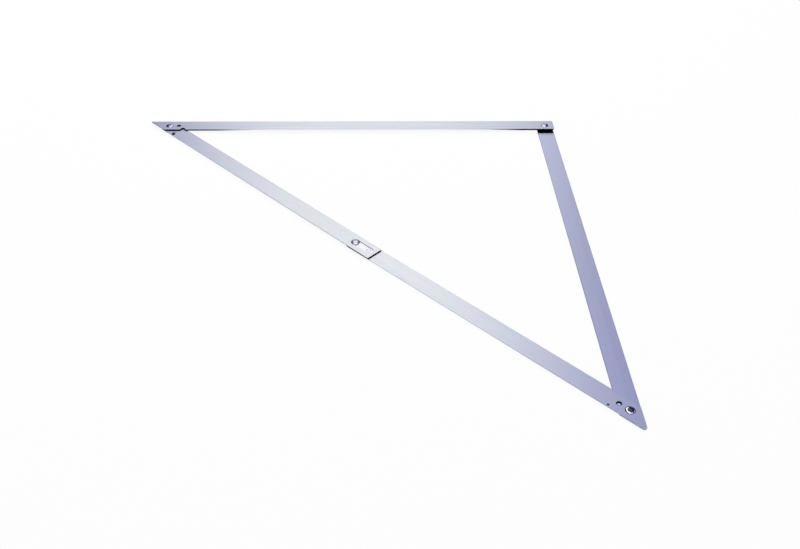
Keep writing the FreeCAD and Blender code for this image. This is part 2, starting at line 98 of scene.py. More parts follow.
class SquareFinishes(bpy.types.PropertyGroup):
    bar: colour("Bars", "Lavender of the anodised aluminium", "#CBCBE2")
    bar_blue: colour("Bar tint", "Bluish clouds in the anodised oxide", "#C6CEE2")
    bar_roughness: share("Bar roughness", "Satin of the anodised faces", 0.35)
    # The cut edges' own duller colour; along the edges it is scaled up and down as painted light and
    # painted shade.
    cut: colour("Cut edges", "Sheared and sawn edges of the bars", "#9EA2AE")
    # Painted highlight: a bright disc set towards the front of each pip's top, where light falls on it.
    pip_highlight: colour("Rubbed metal", "Tops of the pips, rubbed bright by the detent holes", "#F1F1F4")
    # Painted shade: near black put in holes, in the groove round rivet heads, in the channel's hollow
    # and under overlaps, where shade falls.
    grime: colour("Grime", "Dirt and grease in holes and under the flange", "#101015")
    rivet: colour("Rivets", "Polished rivet steel", "#C8C8E0")
    worn_rivet: colour("Tip rivet", "Rivet steel of the tip, dulled by handling", "#7A786F")
    plating: colour("Plated cups", "Bright nickel plating", "#E6E7F2")
    spring: colour("Latch", "Polished stainless spring steel", "#EEEFFF")
    zinc: colour("Spacers", "Dulled zinc plating of the turned spacers", "#74767C")
    black: colour("Fold stops", "Black oxide steel", "#1C1C22")
    worn_black: colour("Worn fold stop", "Black oxide of the tip's stop, worn grey", "#4C4D58")
    line_spacing: length("Line spacing", "Between the fine rolling lines of a bar", 0.9)
    # The rim is a painted darker reflection along each bar's edges.
    rim_width: length("Rim width", "Width of the darker rolled rim along a bar's edges", 1.8)


class BarSizes(bpy.types.PropertyGroup):
    width: length("Width", "Width of the flat bars", 48.0)
    web_side: length("Web side", "Strip along the channel's back that is no cut edge", 3.0)
    detent_reach: length("Detent reach", "From a tip's pivot to the detent beside it", 26.5)
    # Rings and discs of painted shade round the detent holes, the dished washers and the pips.
    hole_shade_ring: length("Hole ring", "Radius of the grime round a detent hole", 5.7)
    hole_shade_ring_half: length("Hole ring half-width", "Half the width of that ring", 0.55)
    cup_ring: length("Cup ring", "Radius of the grime round a dished washer", 10.1)
    cup_shade_ring_half: length("Cup ring half-width", "Half the width of that ring", 0.7)
    cut_fade: length("Cut fade", "Over which the cut edges end at the channel's back", 0.5)
    pip_foot_shade: length("Pip foot", "Radius of the grime round a pip", 5.6)
    # Painted highlights on the pips' tops, and how far they are shifted to the front.
    leg_pip_highlight: length("Leg pip top", "Radius of the rubbed spot on the flat leg's pip", 3.6)
    brace_pip_highlight: length("Brace pip top", "Radius of the rubbed spot on the brace's pip", 2.4)
    highlight_shift: length("Rub shift", "How far those spots lie from the pips' middles", 1.2)
    # Reaches and lines of painted shade: in the channel's hollow, where the flat leg runs under the
    # flange, and under the upper brace's overhang.
    hollow_shade_reach: length("Hollow reach", "How near each other the channel's walls gather grime", 12.0)
    flange_shade_reach: length("Flange reach", "How far the grime reaches from the corner pivot", 31.0)
    flange_shade_fade: length("Flange fade", "Over which that grime fades out", 1.5)
    overhang_shade_reach: length("Overhang reach", "How near what lies over a bar gathers grime", 7.0)
    overhang_shade_line: length("Overhang line", "Grime that shows beyond the upper brace's end", 1.5)
    overhang_shade_fade: length("Overhang fade", "Over which that grime fades out", 0.5)


class JointSizes(bpy.types.PropertyGroup):
    shank_radius: length("Shank radius", "Radius of every rivet's shank", 4.0)
    tail_radius: length("Tail radius", "Radius of a flush rivet tail", 5.5)
    tail_depth: length("Tail depth", "Depth of the countersunk tail", 0.9)
    tip_rim: length("Tip rim", "Thickness of the rim between the two bars at the tip", 0.2)
    head_radius: length("Head radius", "Radius of a rivet's head", 5.2)
    head_thickness: length("Head thickness", "Head above the floor of its cup", 0.7)
    head_bevel: length("Head bevel", "Rounding of the head's edge", 0.3)
    dimple_radius: length("Dimple radius", "Centre mark of the riveting tool in the head", 1.3)
    dimple_depth: length("Dimple depth", "Depth of that mark", 0.25)
    bore_gap: length("Bore gap", "Clearance of a bore round its rivet", 0.05)
    cup_radius: length("Cup radius", "Outer radius of a dished washer", 9.5)
    cup_seat_radius: length("Cup seat radius", "Inside of the washer's raised ring", 5.6)
    # Painted shade in the groove round a head, out to this radius.
    groove_shade_radius: length("Groove radius", "Outer radius of the dirt in the groove round a head", 6.4)
    cup_floor: length("Cup floor", "Thickness of the washer under the head", 0.4)
    cup_crown: length("Cup crown", "Height of the washer's raised ring", 1.25)
    spacer_radius: length("Spacer radius", "Outer radius of spacers and washers", 8.0)
    spacer_round: length("Spacer rounding", "Rounding of a spacer's edges", 0.12)
    neck_radius: length("Neck radius", "Middle spacer inside the latch leaf's eye", 4.8)
    neck_height: length("Neck height", "Height of that neck", 1.1)
    stop_radius: length("Stop radius", "Radius of a fold stop", 2.75)
    stop_bevel: length("Stop bevel", "Rounding of a fold stop's top", 0.4)
    segments: IntProperty(name="Segments", description="Sides of a turned piece", default=96, min=12)


class LatchSizes(bpy.types.PropertyGroup):
    bore_radius: length("Button bore", "Radius of the hole in the button", 4.3)
    tube_radius: length("Button tube", "Radius of the button below its rim", 5.1)
    rim_radius: length("Button rim", "Radius of the button's rolled rim", 6.6)
    button_height: length("Button height", "Rim above the leaf", 0.9)
    lip: length("Button lip", "Rounding of the rolled rim", 0.4)


class StudioSettings(bpy.types.PropertyGroup):
    camera_place: FloatVectorProperty(
        name="Camera place",
        description="Where the photograph was taken from",
        default=(-0.54597, -2.29809, 1.33885),
        subtype="TRANSLATION",
        size=3,
    )
    camera_turn: FloatVectorProperty(
        name="Camera turn",
        description="How the camera is turned",
        default=tuple(math.radians(a) for a in (49.9970, -0.85754, -1.64179)),
        subtype="EULER",
        size=3,
    )
    lens: FloatProperty(name="Lens", description="Focal length", default=39.1, unit="CAMERA")
    wall: colour("Walls", "White floor and backdrop", "#FFFFFF")
    side_wall: colour("Side walls", "Bluish walls that the bars mirror", "#979EFF")
    front_wall: colour("Front walls", "Bright wall behind the camera", "#F2F3FA")
    dark_wall: colour("Dark walls", "Dim corners beside the light strip", "#2A2A56")
    strip_tint: colour("Light strip tint", "Warm white of the long strip overhead", "#FFFDE2")
    strip_light: FloatProperty(name="Light strip", description="Brightness of the strip", default=1.56)
    back_lamp: FloatProperty(name="Back lamp", description="Softbox behind", default=22.0, unit="POWER")
    top_lamp: FloatProperty(name="Top lamp", description="Softbox overhead", default=4.0, unit="POWER")
    shadow_share: share("Floor shadow", "How much of the floor's white comes from the lamps", 0.12)
    floor_drop: length("Floor drop", "How far the floor lies under the object", 0.05)
    keep_floor: BoolProperty(name="Floor", description="Lay the object on a white floor", default=True)


def add(tree, kind, inputs=None, **settings):
    """Adds a node. Each input is named or numbered, and takes a value or the socket that feeds it."""
    node = tree.nodes.new(kind)
    for name, value in settings.items():
        setattr(node, name, value)
    for key, value in (inputs or {}).items():
        if isinstance(value, bpy.types.NodeSocket):
            tree.links.new(value, node.inputs[key])
        else:
            node.inputs[key].default_value = value
    return node


def maths(tree, operation, *terms):
    """The socket of a calculation on values and sockets."""
    return add(tree, "ShaderNodeMath", dict(enumerate(terms)), operation=operation).outputs[0]


def ramp(tree, source, low, high, start=0.0, end=1.0, **settings):
    """The socket of a value that goes from start to end as the source goes from low to high."""
    limits = {"From Min": low, "From Max": high, "To Min": start, "To Max": end}
    return add(tree, "ShaderNodeMapRange", {"Value": source, **limits}, **settings).outputs[0]


def blend(tree, cover, under, over):
    """The socket of one colour laid over another, as far as the cover says."""
    return add(tree, "ShaderNodeMix", {0: cover, 6: under, 7: over}, data_type="RGBA").outputs[2]


def flattened(tree, place):
    """The socket of a place without its height."""
    return add(tree, "ShaderNodeVectorMath", {0: place, 1: (1, 1, 0)}, operation="MULTIPLY").outputs[0]


def picked(settings, *names):
    """Some of a group's settings, by name."""
    return {name: getattr(settings, name) for name in names}


def new_material(name):
    material = bpy.data.materials.new(name)
    material.use_nodes = True
    material.node_tree.nodes.clear()
    return material, material.node_tree


def opaque(rgb):
    return (*rgb, 1.0)


def finish_metal(tree, colour, rough, relief, strength, depth):
    """Ends a metal's tree with its shader and the bump that its relief gives."""
    bump = add(tree, "ShaderNodeBump", {"Strength": strength, "Distance": depth, "Height": relief})
    shader = add(
        tree,
        "ShaderNodeBsdfPrincipled",
        {"Base Color": colour, "Metallic": 1.0, "Roughness": rough, "Normal": bump.outputs[0]},
    )
    add(tree, "ShaderNodeOutputMaterial", {"Surface": shader.outputs[0]})


def bar_noises(tree, along):
    """Noises stretched along a bar, by name."""
    spacing = bpy.context.scene.square_finishes.line_spacing
    # Lines 0.9 mm apart stand for rolling marks some 0.1 mm apart, which no render would show.
    scales = {
        "lines": (4.0, 1 / spacing, 300.0),
        "streaks": (1.5, 170.0, 0.0),
        "clouds": (11.0, 30.0, 0.0),
        "rubs": (14.0, 160.0, 60.0),
    }
    noises = {}
    for key, scale in scales.items():
        stretched = add(tree, "ShaderNodeMapping", {"Vector": along, "Scale": scale}).outputs[0]
        noises[key] = add(
            tree, "ShaderNodeTexNoise", {"Vector": stretched, "Scale": 1.0, "Detail": 3.0}
        ).outputs[0]
    return noises


def bar_values(tree, bar, lengthwise, across, noises):
    """How much of each finish there is at a point of a bar, by name."""
    rim_width = bpy.context.scene.square_finishes.rim_width
    cut_fade = bpy.context.scene.square_bars.cut_fade
    half_width = bar["half_width"]
    rim_shade_start = half_width - rim_width
    normal = add(tree, "ShaderNodeNewGeometry").outputs["Normal"]
    upright = maths(tree, "ABSOLUTE", add(tree, "ShaderNodeSeparateXYZ", {0: normal}).outputs[2])
    from_middle = maths(tree, "ABSOLUTE", across)
    origin, near, far, near_shade, far_shade = bar["edges"]
    distance = maths(tree, "ABSOLUTE", maths(tree, "SUBTRACT", lengthwise, origin))
    # What each value follows, where it starts and ends, and what it is at either.
    steps = {
        "wall": (upright, 0.6, 0.25, 0.0, 1.0),
        "cut": (across, bar["web"] + cut_fade, bar["web"], 0.0, 1.0),
        # edge and inner scale the cut edges as painted shade and painted light: darker or lighter along
        # the bar, lighter on the slot's walls.
        "edge": (distance, near, far, near_shade, far_shade),
        "inner_shading": (from_middle, 0.8 * half_width, 0.7 * half_width, 1.0, bar["inner_shading"]),
        # rim darkens the faces next to the edges: a painted darker reflection.
        "rim": (from_middle, rim_shade_start, rim_shade_start + 0.6 * rim_width, 1.0, bar["rim"]),
        "streak": (noises["streaks"], 0.3, 0.7, *bar["streaks"]),
        "cloud": (noises["clouds"], 0.38, 0.62, 0.0, 1.0),
        "rub": (noises["rubs"], 0.62, 0.74, 0.0, 0.07),
        "line": (noises["lines"], 0.3, 0.7, -0.04, 0.04),
    }
    values = {key: ramp(tree, *step) for key, step in steps.items()}
    products = {
        "side": ("wall", "cut"),
        "face": ("rim", "streak"),
        # worn: the painted shade and painted light on the cut edges.
        "worn": ("edge", "inner_shading"),
    }
    for key, (first, second) in products.items():
        values[key] = maths(tree, "MULTIPLY", values[first], values[second])
    return values


def bar_marks(tree, bar, place):
    """The painted shade discs and rings round a bar's holes, pips and cups, and the pips' painted
    highlights, each with the colour that it gets.
    """
    plan = flattened(tree, place)
    marks = []
    for (x, y), radius, half_width, coat in bar["marks"]:
        reach = add(
            tree, "ShaderNodeVectorMath", {0: plan, 1: (x, y, 0)}, operation="DISTANCE"
        ).outputs["Value"]
        marks.append((maths(tree, "COMPARE", reach, radius, half_width), opaque(coat)))
    return marks


def bar_painted_shade(tree, bar, lengthwise, side):
    """Covers for painted shade in a bar's own hollow, under what lies over its top, and along an
    overlap.
    """
    top = maths(tree, "SUBTRACT", 1.0, side)
    # How near, whether only the bar itself counts, how open it is where unshaded and where fully
    # shaded, and what the painted shade keeps to.
    kinds = (
        (bar["hollow"], True, 0.97, 0.75, 1.0),
        (bar["overhung_shade"], False, 0.96, 0.86, top),
    )
    covers = []
    for reach, own, unshaded, shaded, kept_to in kinds:
        if reach:
            shelter = add(
                tree, "ShaderNodeAmbientOcclusion", {"Distance": reach}, samples=8, only_local=own
            ).outputs["AO"]
            covers.append(maths(tree, "MULTIPLY", ramp(tree, shelter, unshaded, shaded), kept_to))
    if bar["overlap_shade"]:
        covers.append(maths(tree, "MULTIPLY", ramp(tree, lengthwise, *bar["overlap_shade"]), top))
    return covers


def anodised_aluminium(name, bar):
    """Anodised aluminium, rolled or extruded along the bar and then etched satin.

    The rolling leaves fine lines along the bar, the etch blurs every reflection, and the clear
    oxide gives the pale lavender and bluish clouds. Sheared edges have a duller colour than the faces,
    with painted shade and painted light along them, and the rims beside them are a painted darker
    reflection. Painted shade sits in the holes, round the pips and cups, in the channel's hollow and
    under what lies over a bar, and the pips' tops have a painted highlight.
    """
    finishes = bpy.context.scene.square_finishes
    material, tree = new_material(name)
    place = add(tree, "ShaderNodeTexCoord").outputs["Object"]
    along = add(
        tree,
        "ShaderNodeMapping",
        {"Vector": place, "Location": (*bar["start"], 0), "Rotation": (0, 0, bar["turn"])},
        vector_type="TEXTURE",
    ).outputs[0]
    lengthwise, across, _ = add(tree, "ShaderNodeSeparateXYZ", {0: along}).outputs
    noises = bar_noises(tree, along)
    values = bar_values(tree, bar, lengthwise, across, noises)

    tints = [
        opaque([part * gain for part, gain in zip(tint, bar["shade"])])
        for tint in (finishes.bar, finishes.bar_blue)
    ]
    clouded = blend(tree, values["cloud"], *tints)
    # The cut edges' colour is scaled by worn, which is painted shade and painted light.
    finish, edge = (
        add(tree, "ShaderNodeVectorMath", {0: shade, "Scale": gain}, operation="SCALE").outputs[0]
        for shade, gain in ((clouded, values["face"]), (finishes.cut, values["worn"]))
    )
    # Painted shade rings and painted pip highlights from the marks, then painted shade from hollows and
    # overlaps.
    coats = [(values["side"], edge), *bar_marks(tree, bar, place)]
    covers = bar_painted_shade(tree, bar, lengthwise, values["side"])
    # Painted shade, near black, where hollows and overlaps leave the bar in shade.
    coats += [(cover, opaque(finishes.grime)) for cover in covers]
    for cover, coat in coats:
        finish = blend(tree, cover, finish, coat)

    rough = maths(tree, "ADD", values["line"], finishes.bar_roughness)
    for extra, gain in (("rub", 1.0), ("side", 0.15)):
        rough = maths(tree, "MULTIPLY_ADD", values[extra], gain, rough)
    grit = add(tree, "ShaderNodeTexNoise", {"Vector": place, "Scale": 900.0, "Detail": 2.0})
    relief = maths(tree, "MULTIPLY_ADD", grit.outputs[0], 0.4, noises["lines"])
    finish_metal(tree, finish, rough, relief, strength=0.12, depth=0.05 * MM)
    return material


def worked_steel(name, tint, roughness, grain_size, darkening):
    """Steel turned or pressed on a machine: a fine grain, and dull patches that break its shine."""
    material, tree = new_material(name)
    place = add(tree, "ShaderNodeTexCoord").outputs["Object"]
    grain, patches = (
        add(tree, "ShaderNodeTexNoise", {"Vector": place, "Scale": scale, "Detail": 3.0}).outputs[0]
        for scale in (1 / grain_size, 260.0)
    )
    dull = ramp(tree, patches, 0.35, 0.7)
    shade = blend(tree, dull, opaque(tint), opaque([part * darkening for part in tint]))
    rough = maths(tree, "MULTIPLY_ADD", dull, 0.05, roughness)
    finish_metal(tree, shade, rough, grain, strength=0.15, depth=0.03 * MM)
    return material


def measure(tree, sizes, text):
    """The socket that holds a sum of named sizes, such as "length - 0.5*bevel"."""
    total, sign = None, "ADD"
    for word in text.split():
        if word in "+-":
            sign = "ADD" if word == "+" else "SUBTRACT"
            continue
        part, _, name = word.rpartition("*")
        value = sizes[name] if name in sizes else float(name)
        if part:
            value = maths(tree, "MULTIPLY", float(part), value)
        total = value if total is None else maths(tree, sign, total, value)
    return total


def turned_group(name, sizes):
    """A node tree with the sockets of a turned piece."""
    tree = bpy.data.node_groups.new(name, "GeometryNodeTree")
    titles = [size.replace("_", " ").capitalize() for size in sizes]
    sockets = {
        "Places": "NodeSocketGeometry",
        **dict.fromkeys(titles, "NodeSocketFloat"),
        "Segments": "NodeSocketInt",
        "Finish": "NodeSocketMaterial",
        # The painted shade's material, and how near the axis it is put.
        "Grime": "NodeSocketMaterial",
        "Grime radius": "NodeSocketFloat",
    }
    for title, kind in sockets.items():
        tree.interface.new_socket(title, in_out="INPUT", socket_type=kind)
    tree.interface.new_socket("Pieces", in_out="OUTPUT", socket_type="NodeSocketGeometry")
    return tree


def profile_curve(tree, named, profile, hollow):
    """The curve through the corners of a profile, each rounded off."""
    places = add(tree, "GeometryNodeIndexSwitch", data_type="VECTOR")
    rounds = add(tree, "GeometryNodeIndexSwitch", data_type="FLOAT")
    index = add(tree, "GeometryNodeInputIndex").outputs[0]
    for switch in (places, rounds):
        while len(switch.index_switch_items) < len(profile):
            switch.index_switch_items.new()
        tree.links.new(index, switch.inputs[0])
    for number, (radius, height, rounding) in enumerate(profile, start=1):
        drop = maths(tree, "MULTIPLY", measure(tree, named, height), -1.0)
        corner = add(tree, "ShaderNodeCombineXYZ", {0: measure(tree, named, radius), 1: drop})
        tree.links.new(corner.outputs[0], places.inputs[number])
        round_off = measure(tree, named, rounding)
        if isinstance(round_off, bpy.types.NodeSocket):
            tree.links.new(round_off, rounds.inputs[number])
        else:
            rounds.inputs[number].default_value = round_off
    corners = add(tree, "GeometryNodePoints", {"Count": len(profile), "Position": places.outputs[0]})
    line = add(tree, "GeometryNodePointsToCurves", {0: corners.outputs[0]})
    closed = add(tree, "GeometryNodeSetSplineCyclic", {0: line.outputs[0], "Cyclic": hollow})
    return add(
        tree,
        "GeometryNodeFilletCurve",
        {"Curve": closed.outputs[0], "Count": 5, "Radius": rounds.outputs[0], "Limit Radius": True},
        mode="POLY",
    ).outputs[0]


def coated(tree, solid, given):
    """A solid with its finish, and with painted shade on the faces that are near enough to its axis."""
    unshaded = add(tree, "GeometryNodeSetMaterial", {0: solid, "Material": given["Finish"]})
    plan = flattened(tree, add(tree, "GeometryNodeInputPosition").outputs[0])
    reach = add(tree, "ShaderNodeVectorMath", {0: plan}, operation="LENGTH").outputs["Value"]
    inner_shading = add(
        tree, "FunctionNodeCompare", {0: reach, 1: given["Grime radius"]}, operation="LESS_THAN"
    )
    return add(
        tree,
        "GeometryNodeSetMaterial",
        {0: unshaded.outputs[0], "Selection": inner_shading.outputs[0], "Material": given["Grime"]},
    ).outputs[0]


def turned_tree(name, sizes, profile, hollow):
    """A node tree that turns a profile into a solid and sets one on every vertex of its mesh.

    Each corner of the profile is a radius, a height and the radius that rounds it off. A solid's
    profile runs from its top's middle to its foot's, and a hollow one's goes clockwise.
    """
    tree = turned_group(name, sizes)
    given = add(tree, "NodeGroupInput").outputs
    named = {size: given[number] for number, size in enumerate(sizes, start=1)}
    curve = profile_curve(tree, named, profile, hollow)
    axis = add(
        tree,
        "GeometryNodeCurvePrimitiveCircle",
        {"Resolution": given["Segments"], "Radius": AXIS_RADIUS},
    )
    turned = add(tree, "GeometryNodeCurveToMesh", {"Curve": axis.outputs[0], "Profile Curve": curve})
    joined = add(tree, "GeometryNodeMergeByDistance", {0: turned.outputs[0], "Distance": MERGE_REACH})
    smooth = add(tree, "GeometryNodeSetShadeSmooth", {0: joined.outputs[0], "Shade Smooth": True})
    bend = add(tree, "GeometryNodeInputMeshEdgeAngle").outputs[0]
    sharp = add(tree, "FunctionNodeCompare", {0: bend, 1: SHARP_BEND}, operation="GREATER_THAN")
    creased = add(
        tree,
        "GeometryNodeSetShadeSmooth",
        {0: smooth.outputs[0], "Selection": sharp.outputs[0], "Shade Smooth": False},
        domain="EDGE",
    )
    piece = coated(tree, creased.outputs[0], given)
    placed = add(tree, "GeometryNodeInstanceOnPoints", {"Points": given["Places"], "Instance": piece})
    real = add(tree, "GeometryNodeRealizeInstances", {0: placed.outputs[0]})
    add(tree, "NodeGroupOutput", {0: real.outputs[0]})
    return tree


def foot_of(node):
    """The middle of a CAD node's underside, and its height."""
    low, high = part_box(node)
    return Vector(((low[0] + high[0]) / 2, (low[1] + high[1]) / 2, low[2])), high[2] - low[2]


def make_turned(name, body, tree, sizes, materials, nodes):
    """Sets a turned piece at the foot of each CAD node that it stands for, as one plain mesh."""
    seed = bpy.data.meshes.new(name)
    seed.from_pydata([foot_of(node)[0] for node in nodes], [], [])
    piece = bpy.data.objects.new(name, seed)
    bpy.context.scene.collection.objects.link(piece)
    modifier = piece.modifiers.new("Turned", "NODES")
    modifier.node_group = tree
    values = {**sizes, **materials, "segments": bpy.context.scene.square_joints.segments}
    for item in tree.interface.items_tree:
        key = item.name.lower().replace(" ", "_")
        if item.in_out == "INPUT" and key in values:
            modifier[item.identifier] = values[key]
    evaluated = piece.evaluated_get(bpy.context.evaluated_depsgraph_get())
    mesh = bpy.data.meshes.new_from_object(evaluated)
    piece.modifiers.remove(modifier)
    piece.data = mesh
    mesh.name = name
    bpy.data.meshes.remove(seed)
    if not mesh.polygons:
        raise RuntimeError(f"{name} came out empty")
    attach(piece, body)
    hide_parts(*nodes)
    return piece


# Profiles of the turned pieces: the radius and the height of every corner, and what rounds it.
RIVET = (
    ("0", "length - dimple_depth", "0"),
    ("dimple_radius - dimple_depth", "length - dimple_depth", "dimple_depth"),
    ("dimple_radius", "length", "0.5*dimple_depth"),
    ("head_radius", "length", "head_bevel"),
    ("head_radius", "length - head_thickness", "0"),
    ("shank_radius", "length - head_thickness", "0"),
    ("shank_radius", "tail_depth", "0"),
    ("tail_radius", "0", "0"),
    ("0", "0", "0"),
)
TIP_BASE = (
    ("0", "length", "0"),
    ("rim_radius", "length", "0"),
    ("rim_radius", "length - rim", "0"),
    ("shank_radius", "length - rim", "0"),
    ("shank_radius", "tail_depth", "0"),
    ("tail_radius", "0", "0"),
    ("0", "0", "0"),
)
CUP = (
    ("bore", "floor", "0"),
    ("seat_radius", "floor", "0"),
    ("seat_radius + 0.04*width", "floor + 0.8*rise", "0.1*width"),
    ("seat_radius + 0.13*width", "floor + rise", "0.1*width"),
    ("seat_radius + 0.38*width", "floor + 0.82*rise", "0.3*width"),
    ("seat_radius + 0.7*width", "floor + 0.42*rise", "0.3*width"),
    ("seat_radius + width", "0.6*floor", "0.3*floor"),
    ("seat_radius + width", "0", "0"),
    ("bore", "0", "0"),
)
SPACER = (
    ("bore", "length", "0"),
    ("radius", "length", "rounding"),
    ("radius", "0", "rounding"),
    ("bore", "0", "0"),
)
NECKED_SPACER = (
    ("bore", "length", "0"),
    ("neck_radius", "length", "0"),
    ("neck_radius", "length - neck_height", "0"),
    ("radius", "length - neck_height", "rounding"),
    ("radius", "0", "rounding"),
    ("bore", "0", "0"),
)
STOP_PIN = (
    ("0", "length", "0"),
    ("radius", "length", "bevel"),
    ("radius", "0", "0"),
    ("0", "0", "0"),
)
BUTTON = (
    ("bore", "length", "1.2*lip"),
    ("rim_radius", "length", "1.2*lip"),
    ("rim_radius", "length - height", "0.2*lip"),
    ("tube_radius", "length - height", "0"),
    ("tube_radius", "0", "0"),
    ("bore", "0", "0"),
)


class SQUARE_OT_bars(bpy.types.Operator):
    """Finish the channel and the three flat bars in satin anodised aluminium"""

    bl_idname = "square.bars"
    bl_label = "Bars"

    def execute(self, context):
        for node, settings in self.bars().items():
            material = anodised_aluminium(f"satin anodised aluminium, {node}", settings)
            bar = frame["nodes"][node]
            bar.data.materials.clear()
            bar.data.materials.append(material)
        return {"FINISHED"}

    def overhang(self, joint, along):
        """How far the upper brace reaches past the middle joint."""
        brace = frame["nodes"]["upper_brace"]
        direction = along.normalized()
        ends = [(brace.matrix_world @ v.co).to_2d() - joint for v in brace.data.vertices]
        return max(end.dot(direction) for end in ends)

    def spots(self):
        """The pivots and the detents, seen from above."""
        joints = {joint["name"]: joint["pos_m"] for joint in frame["record"]["behaviour"]["joints"]}
        corner, brace_tip, middle = (
            Vector(joints[name][:2]) for name in ("corner_pivot", "brace_pivot", "middle_pivot")
        )
        leg_tip = Vector((corner.x, corner.y - (corner.x - brace_tip.x)))
        reach = bpy.context.scene.square_bars.detent_reach
        return {
            "corner": corner,
            "brace_tip": brace_tip,
            "middle": middle,
            "leg_tip": leg_tip,
            "brace_detent": brace_tip + Vector((reach, 0)),
            "leg_detent": leg_tip + reach * (middle - leg_tip).normalized(),
        }

    def marks(self, spots):
        """Each bar's painted shade rings and discs and the pips' painted highlights: where they are,
        their radius, half their width, their colour.
        """
        sizes = bpy.context.scene.square_bars
        finishes = bpy.context.scene.square_finishes
        hole = (sizes.hole_shade_ring, sizes.hole_shade_ring_half, finishes.grime)
        ring = (sizes.cup_ring, sizes.cup_shade_ring_half, finishes.grime)
        pip_foot_shade = (0.0, sizes.pip_foot_shade, finishes.grime)
        leg_pip_highlight = (0.0, sizes.leg_pip_highlight, finishes.pip_highlight)
        brace_pip_highlight = (0.0, sizes.brace_pip_highlight, finishes.pip_highlight)
        # The pips' painted highlights sit a little to the front of their middles.
        rubbed = Vector((0, -sizes.highlight_shift))
        brace_detent, leg_detent = spots["brace_detent"], spots["leg_detent"]
        return {
            "channel_leg": [
                (brace_detent, *hole),
                (spots["brace_tip"], *ring),
                (spots["corner"], *ring),
            ],
            "flat_leg": [(leg_detent, *pip_foot_shade), (leg_detent + rubbed, *leg_pip_highlight)],
            "upper_brace": [
                (spots["middle"], *ring),
                (brace_detent, *pip_foot_shade),
                (brace_detent + rubbed, *brace_pip_highlight),
            ],
            "lower_brace": [(leg_detent, *hole), (spots["leg_tip"], *ring)],
        }

    def bars(self):
        """How each bar lies, how its finish is shaded, and where shade is painted on it.

        web: how far across the bar its cut sides reach. What lies past it is plain face.
        shade: the share of the bars' colour in red, green and blue.
        rim, streaks: the rims' share, a painted darker reflection, and the least and most in the
        streaks.
        edges: a place along the bar, two distances from it, and the cut edges' share at each: painted
        shade and painted light along the bar.
        inner: the gain of the cut edges inside the bar, such as the slot's: painted light on its walls.
        hollow, overhung: how near the bar's own surfaces, or what lies over it, bring painted shade.
        swept: where along its top the painted shade of an overlap begins, and where it is full.
        """
        sizes = bpy.context.scene.square_bars
        spots = self.spots()
        upper = spots["middle"] - spots["brace_tip"]
        lower = spots["middle"] - spots["leg_tip"]
        overhang_end = lower.length - self.overhang(spots["middle"], upper)
        shaded_from = overhang_end - sizes.overhang_shade_line
        (_, front, _), (_, back, _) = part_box("channel_leg")
        channel_half = (back - front) / 2
        plain = {
            "half_width": sizes.width / 2,
            "web": sizes.width / 2,
            "streaks": (0.965, 1.02),
            "inner_shading": 1.0,
            "hollow": 0.0,
            "overhung_shade": 0.0,
            "overlap_shade": None,
        }
        bars = {
            "channel_leg": {
                "start": (0.0, (front + back) / 2),
                "turn": 0.0,
                "half_width": channel_half,
                "web": channel_half - sizes.web_side,
                "shade": (1.0, 1.01, 1.0),
                "rim": 0.9,
                "streaks": (0.9, 1.05),
                # Painted light and painted shade on the channel's cut edges: lighter in the middle,
                # black towards both ends; painted shade in its hollow.
                "edges": (-0.6, 0.25, 0.5, 2.0, 0.03),
                "hollow": sizes.hollow_shade_reach,
            },
            "flat_leg": {
                "start": spots["corner"],
                "turn": math.radians(-90),
                "shade": (1.0, 1.0, 1.07),
                "rim": 0.66,
                # Painted shade on the cut edges, a little darker away from the corner, and where the
                # leg runs under the flange.
                "edges": (0.0, 0.0, 1.1, 0.9, 0.8),
                "overlap_shade": (sizes.flange_shade_reach + sizes.flange_shade_fade, sizes.flange_shade_reach),
            },
            "upper_brace": {
                "start": spots["brace_tip"],
                "turn": math.atan2(upper.y, upper.x),
                "shade": (1.05, 1.045, 1.03),
                "rim": 0.85,
                # The upper brace's cut end is painted black, painted shade of the gap under it; its
                # slot walls get painted light.
                "edges": (0.0, 0.846, 0.853, 0.45, 0.03),
                "inner_shading": 4.5,
                "overhung_shade": sizes.overhang_shade_reach,
            },
            "lower_brace": {
                "start": spots["leg_tip"],
                "turn": math.atan2(lower.y, lower.x),
                "shade": (1.07, 1.065, 1.06),
                "rim": 0.8,
                # Painted light on the lower brace's cut edges towards the middle joint, painted shade
                # beyond the overhang's end.
                "edges": (0.0, 0.1, 0.6, 0.8, 1.7),
                "overlap_shade": (shaded_from - sizes.overhang_shade_fade, shaded_from),
            },
        }
        marks = self.marks(spots)
        return {name: {**plain, **bar, "marks": marks[name]} for name, bar in bars.items()}


